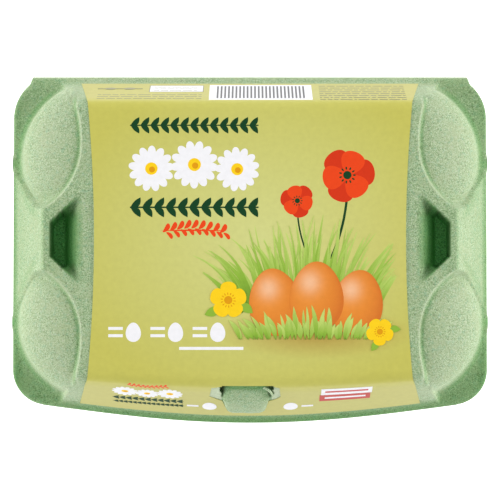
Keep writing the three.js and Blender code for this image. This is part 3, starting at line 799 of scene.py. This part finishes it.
def label_ground(tree, place):
    """The label's ground: yellow-green, with a paler glow about the middle of the top and a soft printed
    shadow, and down the walls a whiter tone that is a painted sheen, the bright room reflected at their
    slant."""
    colour = LABEL_EDGE
    for centre, reach, towards in (
        ((3, 2), (62, 50), LABEL_GLOW),
        ((20, -26.5), (30, 8), LABEL_SHADOW),
    ):
        shift = (-centre[0] / reach[0], -centre[1] / reach[1], 0)
        sockets = {"Vector": place, "Location": shift, "Scale": (1000 / reach[0], 1000 / reach[1], 0)}
        centred = new_node(tree, "ShaderNodeMapping", sockets).outputs["Vector"]
        fading = new_node(tree, "ShaderNodeTexGradient", {"Vector": centred}, gradient_type="SPHERICAL")
        colour = mixed(tree, fading.outputs["Fac"], colour, towards)
    height = new_node(tree, "ShaderNodeSeparateXYZ", {"Vector": place}).outputs["Z"]
    # Painted sheen: whiter down the walls, below the top.
    return mixed(tree, between(tree, height, 0.067, 0.061), colour, LABEL_WALL_SHEEN)


def sheet_of_paper(name, x, v, open_faces, material):
    """A sheet with thickness: its outer and inner faces with the open faces left out, and a wall along every
    edge that only one face has."""
    outer = sheet_point(x, v)
    inner = sheet_point(x, v, np.full_like(x, -PAPER_THICKNESS))
    rows, columns = x.shape
    faces = quads(rows, columns)[:, ::-1][~open_faces.reshape(-1)]
    edges = np.concatenate([faces[:, [i, (i + 1) % 4]] for i in range(4)])
    key = np.sort(edges, axis=1)
    _, first, count = np.unique(key, axis=0, return_index=True, return_counts=True)
    rim = edges[first[count == 1]]
    below = rows * columns
    walls = np.stack([rim[:, 1], rim[:, 0], rim[:, 0] + below, rim[:, 1] + below], axis=-1)
    used = np.concatenate([faces, faces[:, ::-1] + below, walls])
    vertices = np.concatenate([outer.reshape(-1, 3), inner.reshape(-1, 3)])
    kept, renumbered = np.unique(used, return_inverse=True)
    return add_mesh(name, vertices[kept], renumbered.reshape(-1, 4).tolist(), material)


LABEL_PAPER = coated_paper("label_paper", 0.16, label_ground)
label = sheet_of_paper("paper_label", *label_grid(), LABEL_PAPER)
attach(label, "root")
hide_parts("label")

# The print
# Inks on the label, each a film far thinner than the paper. Three white daisies stand between two dark
# garlands, and brown eggs in grass under two red poppies. The walls carry small plain marks, and no words.

INK_WHITE = (0.84, 0.845, 0.885)
INK_LEAF = (0.006, 0.05, 0.016)
INK_RED = (0.78, 0.060, 0.010)
INK_DEEP_RED = (0.62, 0.036, 0.008)
INK_YELLOW = (0.90, 0.60, 0.012)
INK_AMBER = (0.70, 0.31, 0.006)
INK_GREY = (0.33, 0.33, 0.21)
INK_PINK = (0.53, 0.085, 0.075)
INK_STEP = 0.0008
INK_ROOT = -0.05


def oval(share):
    """An ellipse's half width along its length."""
    return 2 * np.sqrt(share * (1 - share))


def egg_shape(share):
    """An oval that is a seventh wider below its middle and as much narrower above."""
    return oval(share) * (1 - 0.14 * (2 * share - 1))


def petal(share):
    """An oval that narrows to half its width at the base."""
    return oval(share) * (0.55 + 0.55 * share)


def leaf(share):
    """A parabola, pointed at both ends."""
    return 4 * share * (1 - share)


def blade(share):
    """A width that falls from the base to a point as the square root of what is left."""
    return np.sqrt(1 - share)


def bar(share):
    """An even width."""
    return np.ones_like(share)


def forms(base, tip, width, profile, bend=0.0, along=13, across=5):
    """Like shapes as grids of sheet positions, one for each base and tip. A spine runs from the base to the
    tip and bows sideways, as a parabola, by bend times its length. The profile gives the share of the width
    along the way."""
    base, tip = np.atleast_2d(base).astype(float), np.atleast_2d(tip).astype(float)
    share = (1 - np.cos(np.linspace(0, np.pi, along))) / 2
    chord = tip - base
    normal = at(-chord[:, 1], chord[:, 0])
    unit = normal / np.linalg.norm(chord, axis=1, keepdims=True)
    bowed = np.multiply.outer(np.broadcast_to(bend, len(base)), 4 * share * (1 - share))
    half = np.multiply.outer(np.broadcast_to(width, len(base)) / 2, np.maximum(profile(share), 0.02))
    spine = base[:, None] + share[:, None] * chord[:, None] + bowed[..., None] * normal[:, None]
    side = np.linspace(-1, 1, across)
    return spine[:, :, None] + side[:, None] * half[:, :, None, None] * unit[:, None, None]


def round_centre(centre, inner, outer, count, turn=0.0):
    """Bases and tips of count like forms that point away from a centre, at even angles from turn."""
    angle = turn + 2 * np.pi * np.arange(count) / count
    direction = at(np.cos(angle), np.sin(angle))
    return np.asarray(centre) + inner * direction, np.asarray(centre) + outer * direction


def disc(centre, radius):
    """A round spot."""
    centre = np.asarray(centre, float)
    return forms(centre - (0, radius), centre + (0, radius), 2 * radius, oval, along=17, across=9)


def carried_ink(tree, _):
    """The colours that a piece's points carry."""
    return new_node(tree, "ShaderNodeAttribute", {}, attribute_name="ink").outputs["Color"]


PRINTED = coated_paper("printed_ink", 0.1, carried_ink)


def print_ink(name, level, layers):
    """One piece of ink, printed from a level above the paper upwards. Each of its layers is an array of grids
    of sheet positions with a colour, or with colours on the same grids. Every grid is a closed film down into
    the paper, and each next one lies a step higher, so that no two share a surface."""
    vertices, faces, colours = [], [], []
    start, printed = 0, 0
    for shapes, colour in layers:
        count, n, m = shapes.shape[:3]
        steps = level + INK_STEP * (printed + 1 + np.arange(count))
        printed += count
        lifts = np.broadcast_to(steps[:, None, None], shapes.shape[:3])
        top = sheet_point(shapes[..., 0], shapes[..., 1], lifts)
        root = sheet_point(shapes[..., 0], shapes[..., 1], np.full(shapes.shape[:3], INK_ROOT))
        vertices.append(np.stack([top, root], axis=1).reshape(-1, 3))
        one = pair_faces(n, m)
        offsets = start + 2 * n * m * np.arange(count)
        faces.append((one[None] + offsets[:, None, None]).reshape(-1, 4))
        tint = np.broadcast_to(colour, (*shapes.shape[:3], 3))
        colours.append(np.stack([tint, tint], axis=1).reshape(-1, 3))
        start += 2 * n * m * count
    piece = add_mesh(name, np.concatenate(vertices), np.concatenate(faces).tolist(), PRINTED)
    carried = piece.data.attributes.new("ink", "FLOAT_COLOR", "POINT")
    rgba = np.concatenate([np.concatenate(colours), np.ones((start, 1))], axis=1)
    carried.data.foreach_set("color", rgba.astype(np.float32).reshape(-1))
    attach(piece, "root")


# The daisies, their garlands and a red sprig


def daisies(places):
    """The layers of a row of daisies: at each place thirteen white petals round a yellow middle."""
    layers = []
    for centre, radius, turn in places:
        petals = forms(*round_centre(centre, 0.12 * radius, radius, 13, turn), 0.42 * radius, petal)
        heart = disc(np.add(centre, (0.03 * radius, -0.04 * radius)), 0.13 * radius)
        layers += [(petals, INK_WHITE), (disc(centre, 0.27 * radius), INK_YELLOW), (heart, INK_AMBER)]
    return layers


def garland(left, right, height, reach, count):
    """The layers of a garland: a level stem with a pair of dark leaves at each of count places. reach gives
    how far a leaf goes along and away from the stem."""
    x = np.linspace(left + 0.2, right - reach[0] - 0.2, count)
    base = at(x, height)
    thick = 0.65 * reach[1]
    return [
        (forms((left, height), (right, height), 0.16 * reach[1], bar, along=31), INK_LEAF),
        (forms(base, base + reach, thick, leaf, -0.12), INK_LEAF),
        (forms(base, base + (reach[0], -reach[1]), thick, leaf, 0.12), INK_LEAF),
    ]


def sprig(left, right, height, size, count):
    """The layers of a red sprig: a wavy row of petals, larger above its stem than below."""
    x = np.linspace(left + 0.4 * size, right - size, count)
    base = at(x, height + 0.3 * size * np.sin(x / size / 1.5))
    return [
        (forms((left, height), (right, height), 0.2 * size, leaf, 0.01, along=31), INK_RED),
        (forms(base, base + (0.7 * size, size), 0.66 * size, petal, -0.1), INK_RED),
        (forms(base + (0.4 * size, 0), base + (1.1 * size, -0.75 * size), 0.52 * size, petal, 0.1), INK_RED),
    ]


TOP_DAISIES = (((-30.0, 23.4), 7.0, 0.1), ((-16.9, 24.6), 7.3, 0.35), ((-3.9, 23.2), 6.8, 0.2))
print_ink("print_daisies", 0, daisies(TOP_DAISIES))
top_garlands = garland(-36.5, 2.6, 36.6, (2.6, 2.5), 13) + garland(-36.5, 2.6, 11.6, (3.0, 3.0), 11)
print_ink("print_garlands", 0, top_garlands)
print_ink("print_sprig", 0, sprig(-27.5, -6.5, 4.4, 2.6, 9))

# The poppies


def poppy(centre, radius, foot, bend, turn):
    """The layers of a poppy: a bowed dark stem to its foot, three deep red petals behind three lighter ones,
    and a dark middle with a ring of stamens."""
    inner = 0.03 * radius
    behind = round_centre(centre, inner, radius, 3, turn)
    before = round_centre(centre, inner, 0.9 * radius, 3, turn + 1.05)
    return [
        (forms(centre, foot, 0.09 * radius, bar, bend, along=21), INK_LEAF),
        (forms(*behind, 1.1 * radius, petal, along=21, across=9), INK_DEEP_RED),
        (forms(*before, radius, petal, along=21, across=9), INK_RED),
        (forms(*round_centre(centre, 0.2 * radius, 0.31 * radius, 11), 0.06 * radius, oval), INK_LEAF),
        (disc(centre, 0.15 * radius), INK_LEAF),
    ]


POPPIES = (((29.6, 21.4), 8.4, (24.5, -4.0), 0.06, 0.15), ((14.4, 13.6), 5.2, (18.0, -4.0), -0.06, 0.8))
print_ink("print_poppies", 0, [layer for each in POPPIES for layer in poppy(*each)])

# The grass, the eggs and the buttercups

GRASS_FOOT = (0.07, 0.19, 0.018)
GRASS_MIDDLE = (0.25, 0.44, 0.045)
GRASS_TIP = (0.50, 0.64, 0.16)
GRASS_END = 43.5
EGG_BODY = (0.77, 0.265, 0.036)
EGG_SHADE = (0.62, 0.165, 0.024)
EGG_LIGHT = (0.86, 0.52, 0.32)


def grass(count, seed, row, lengths, lean, profile, start_tone):
    """Blades from bases spread along a row: each leans away from the row's middle, by lean at its ends, with
    a random part, but hardly past the grass's end, to stay on the sheet. They come back as grids with a
    colour at each point, dark at the foot, then green, and pale at the tip."""
    draw = np.random.default_rng(seed)
    along = np.linspace(-1, 1, count) + draw.uniform(-0.04, 0.04, count)
    left, right = np.asarray(row, float)
    base = left + np.multiply.outer((along + 1) / 2, right - left)
    angle = np.pi / 2 - lean * along + draw.normal(0, 0.13, count)
    length = draw.uniform(*lengths, count) * (1 - 0.28 * np.abs(along))
    tip = base + at(np.cos(angle), np.sin(angle)) * length[:, None]
    tip[:, 0] -= 0.85 * np.clip(tip[:, 0] - GRASS_END, 0, None)
    bend = draw.uniform(-0.08, 0.08, count) + 0.1 * along
    order = draw.permutation(count)
    width = draw.uniform(0.9, 1.9, count)
    grids = forms(base[order], tip[order], width, profile, bend[order], along=17, across=3)
    tone = np.linspace(0, 1, 17) + start_tone + draw.uniform(-0.15, 0.2, count)[:, None]
    greens = zip(GRASS_FOOT, GRASS_MIDDLE, GRASS_TIP)
    channels = [np.interp(tone, (0, 0.45, 1.0), green) for green in greens]
    return grids, np.broadcast_to(np.stack(channels, axis=-1)[:, :, None], (*grids.shape[:3], 3))


def egg(middle, length, width, turn):
    """An egg that stands on its wider end, turned about its middle, with the shading of a ball lit from the
    upper left: the shell's colour falls to a redder edge, and a pale light lies on its upper left."""
    reach = length / 2 * np.array([-math.sin(turn), math.cos(turn)])
    grid = forms(np.subtract(middle, reach), np.add(middle, reach), width, egg_shape, along=49, across=41)
    place = (grid - middle) / (length / 2)
    across = np.linspace(-1, 1, 41)[None, None, :]
    upright = np.cos(np.linspace(np.pi, 0, 49))[None, :, None]
    depth = np.sqrt(held(1 - upright**2) * held(1 - across**2))
    lit = held(0.95 * depth - 0.4 * place[..., 0] + 0.3 * place[..., 1])
    gleam = np.exp(-(((place[..., 0] + 0.2) / 0.3) ** 2) - ((place[..., 1] - 0.4) / 0.32) ** 2)
    rgb = np.asarray(EGG_SHADE) + lit[..., None] * np.subtract(EGG_BODY, EGG_SHADE)
    return grid, rgb + 0.85 * gleam[..., None] * (np.asarray(EGG_LIGHT) - rgb)


behind = grass(110, 21, ((-4.0, -20.0), (38.0, -20.0)), (18, 31), 0.7, blade, 0.0)
print_ink("print_grass_behind", 0, [behind])
EGGS = (
    ((7.6, -17.2), 20.5, 16.0, 0.14),
    ((32.6, -17.4), 20.0, 15.6, -0.16),
    ((20.2, -15.4), 21.0, 16.4, -0.02),
)
print_ink("print_eggs", 0.1, [egg(*each) for each in EGGS])
before = grass(64, 22, ((-3.0, -28.6), (40.0, -28.6)), (5, 11), 0.6, leaf, 0.2)
print_ink("print_grass_before", 0.105, [before])

BUTTERCUPS = (((-6.6, -16.6), 5.6, 0.3), ((39.4, -26.2), 4.2, 0.9))
buttercup_layers = []
for centre, radius, turn in BUTTERCUPS:
    leaf_base, leaf_tip = round_centre(centre, 0.6 * radius, 1.5 * radius, 3, turn + 3.4)
    leaves = forms(leaf_base[:2], leaf_tip[:2], 0.5 * radius, leaf, 0.1)
    petals = forms(*round_centre(centre, 0.2, radius, 5, turn), 1.02 * radius, petal, along=17, across=7)
    stamens = forms(*round_centre(centre, 0.28 * radius, 0.42 * radius, 14, turn), 0.3, oval)
    buttercup_layers += [(leaves, GRASS_MIDDLE), (petals, INK_YELLOW), (stamens, INK_AMBER)]
    buttercup_layers.append((disc(centre, 0.22 * radius), INK_AMBER))
print_ink("print_buttercups", 0.16, buttercup_layers)

# The small marks on the top and on the walls
# A wall's marks are drawn upright, as X and height above the ground, and then moved onto the sheet.


def block(left, right, low, high):
    """A rectangle."""
    return forms(((left + right) / 2, low), ((left + right) / 2, high), right - left, bar, along=9, across=15)


def broken_rules(left, right, heights, thick, seed):
    """Level rules from left to right, one at each height, broken into dashes of random length."""
    draw = np.random.default_rng(seed)
    starts, ends = [], []
    for height in heights:
        cuts = left + np.cumsum(draw.uniform(1.0, 4.5, 40))
        cuts = np.concatenate([[left], cuts[cuts < right - 1], [right]])
        starts.append(at(cuts[:-1], height))
        ends.append(at(cuts[1:] - 0.5, height))
    return forms(np.concatenate(starts), np.concatenate(ends), thick, bar, along=5, across=3)


def on_wall(layers, back):
    """Layers drawn upright, moved onto the sheet where it covers the back or the front wall. On the back wall
    the way along the sheet runs down, so each grid is turned over, which keeps its faces outwards."""
    moved = []
    for shapes, colour in layers:
        shapes = at(shapes[..., 0], hem_v(shapes[..., 0], back, shapes[..., 1]))
        moved.append((shapes[:, :, ::-1] if back else shapes, colour))
    return moved


marks = []
for x in (-40.4, -27.6, -14.8):
    for height in (-27.4, -25.2):
        marks.append((block(x - 2.6, x + 1.8, height - 0.45, height + 0.45), INK_WHITE))
    marks.append((forms((x + 5, -29.3), (x + 5, -23.4), 4.6, egg_shape), INK_WHITE))
marks.append((block(-21.5, -2.0, -31.7, -30.8), INK_WHITE))
print_ink("print_small_marks", 0, marks)

STRIPE_GREY = (0.16, 0.16, 0.17)
stripes = np.linspace(-10.0, 16.6, 24)
stripe_low, stripe_high = (at(stripes, z) for z in (45.0, 62.5))
back_marks = [
    (block(-12.6, 19.2, 43.2, 64.8), INK_WHITE),
    (forms(stripe_low, stripe_high, 0.55, bar, along=5, across=3), STRIPE_GREY),
    (block(-31.4, -14.4, 44.0, 53.5), INK_GREY),
    (block(-31.1, -14.7, 44.4, 53.1), INK_WHITE),
    (broken_rules(-29.8, -16.0, (46.5, 49.0, 51.5), 0.5, 31), INK_GREY),
    (broken_rules(-47.0, -14.4, (57.5, 60.3, 63.1), 0.55, 32), INK_GREY),
    (broken_rules(21.5, 48.5, np.linspace(45.0, 64.5, 8), 0.55, 33), INK_GREY),
    (forms((-47.5, 49.0), (-33.5, 49.0), 0.4, bar, along=9, across=3), INK_GREY),
    (forms((-45.5, 49.0), (-41.5, 49.0), 2.6, leaf), INK_GREY),
    (forms((-39.5, 49.0), (-35.5, 49.0), 2.6, leaf), INK_GREY),
]
print_ink("print_back_wall", 0, on_wall(back_marks, True))

FRONT_DAISIES = (((-38.4, 58.8), 4.0, 0.3), ((-31.6, 58.0), 3.6, 0.5), ((-24.6, 58.8), 4.0, 0.1))
front_marks = sprig(-38.0, -25.0, 64.6, 1.5, 9) + daisies(FRONT_DAISIES)
front_marks += garland(-42.5, -20.6, 52.4, (1.8, 1.6), 11) + garland(-42.5, -20.6, 48.6, (1.4, 1.1), 15)
for x, side in ((-12.6, -1), (12.6, 1)):
    near, far = sorted((x + side * 3.4, x + side * 7.0))
    front_marks.append((forms((x, 46.2), (x, 52.4), 4.4, egg_shape), INK_WHITE))
    front_marks.append((block(near, far, 48.6, 49.8), INK_WHITE))
front_marks += [
    (block(21.8, 37.4, 58.2, 63.4), INK_WHITE),
    (block(23.0, 36.2, 60.2, 61.6), INK_PINK),
    (block(21.4, 37.0, 52.8, 58.0), INK_PINK),
    (block(23.0, 35.6, 54.8, 56.2), INK_WHITE),
]
print_ink("print_front_wall", 0, on_wall(front_marks, False))

# The studio
# A white floor, a soft lamp low on either side of the carton, a weaker one high behind it, and a long lens
# almost straight above, leaning a little to the front.

CAMERA_DISTANCE = 0.8
CAMERA_LEAN = math.radians(2.2)
VIEW_CENTRE = np.array([0.0, -0.00015, 0.036])
LENS_LENGTH = 182
LAMP_AIM = (0, 0, 0.05)
LAMP_COLOUR = (1.0, 0.97, 0.93)
FLOOR_HALF = 3000
FLOOR_Z = -0.2

lens = bpy.data.cameras.new("studio_camera")
lens.sensor_width = 36
lens.lens = LENS_LENGTH
camera = bpy.data.objects.new("studio_camera", lens)
camera.location = VIEW_CENTRE + CAMERA_DISTANCE * np.array([0, -math.sin(CAMERA_LEAN), math.cos(CAMERA_LEAN)])
camera.rotation_euler = (CAMERA_LEAN, 0, 0)
bpy.context.scene.collection.objects.link(camera)
bpy.context.scene.camera = camera


def soft_lamp(name, place, size, watts):
    """A square lamp with a soft edge, turned from its place towards the carton."""
    light = bpy.data.lights.new(name, "AREA")
    light.shape = "SQUARE"
    light.size = size
    light.energy = watts
    light.color = LAMP_COLOUR
    lamp = bpy.data.objects.new(name, light)
    lamp.location = place
    x, y, z = np.subtract(LAMP_AIM, place)
    lamp.rotation_euler = (0, -math.atan2(math.hypot(x, y), -z), math.atan2(y, x))
    bpy.context.scene.collection.objects.link(lamp)


soft_lamp("lamp_left", (-1.3, 0.05, 0.56), 0.7, 11.5)
soft_lamp("lamp_right", (1.3, 0.05, 0.56), 0.7, 11.5)
soft_lamp("lamp_behind", (0, 1.3, 0.9), 0.9, 3)

world = bpy.data.worlds.new("studio_air")
world.use_nodes = True
wired(world.node_tree, world.node_tree.nodes["Background"], {"Color": (1, 1, 1, 1), "Strength": 0.64})
bpy.context.scene.world = world

floor_material, floor_tree, floor_shader = plain_material("white_floor", 0.8, 0.5)[:3]
floor_look = {"Base Color": (0.9, 0.9, 0.9, 1), "Emission Color": (1, 1, 1, 1), "Emission Strength": 0.75}
wired(floor_tree, floor_shader, floor_look)
corners = [(x * FLOOR_HALF, y * FLOOR_HALF, FLOOR_Z) for x, y in ((-1, -1), (1, -1), (1, 1), (-1, 1))]
floor = add_mesh("white_floor", corners, [(0, 1, 2, 3)], floor_material)

bpy.context.scene.view_settings.view_transform = "Standard"
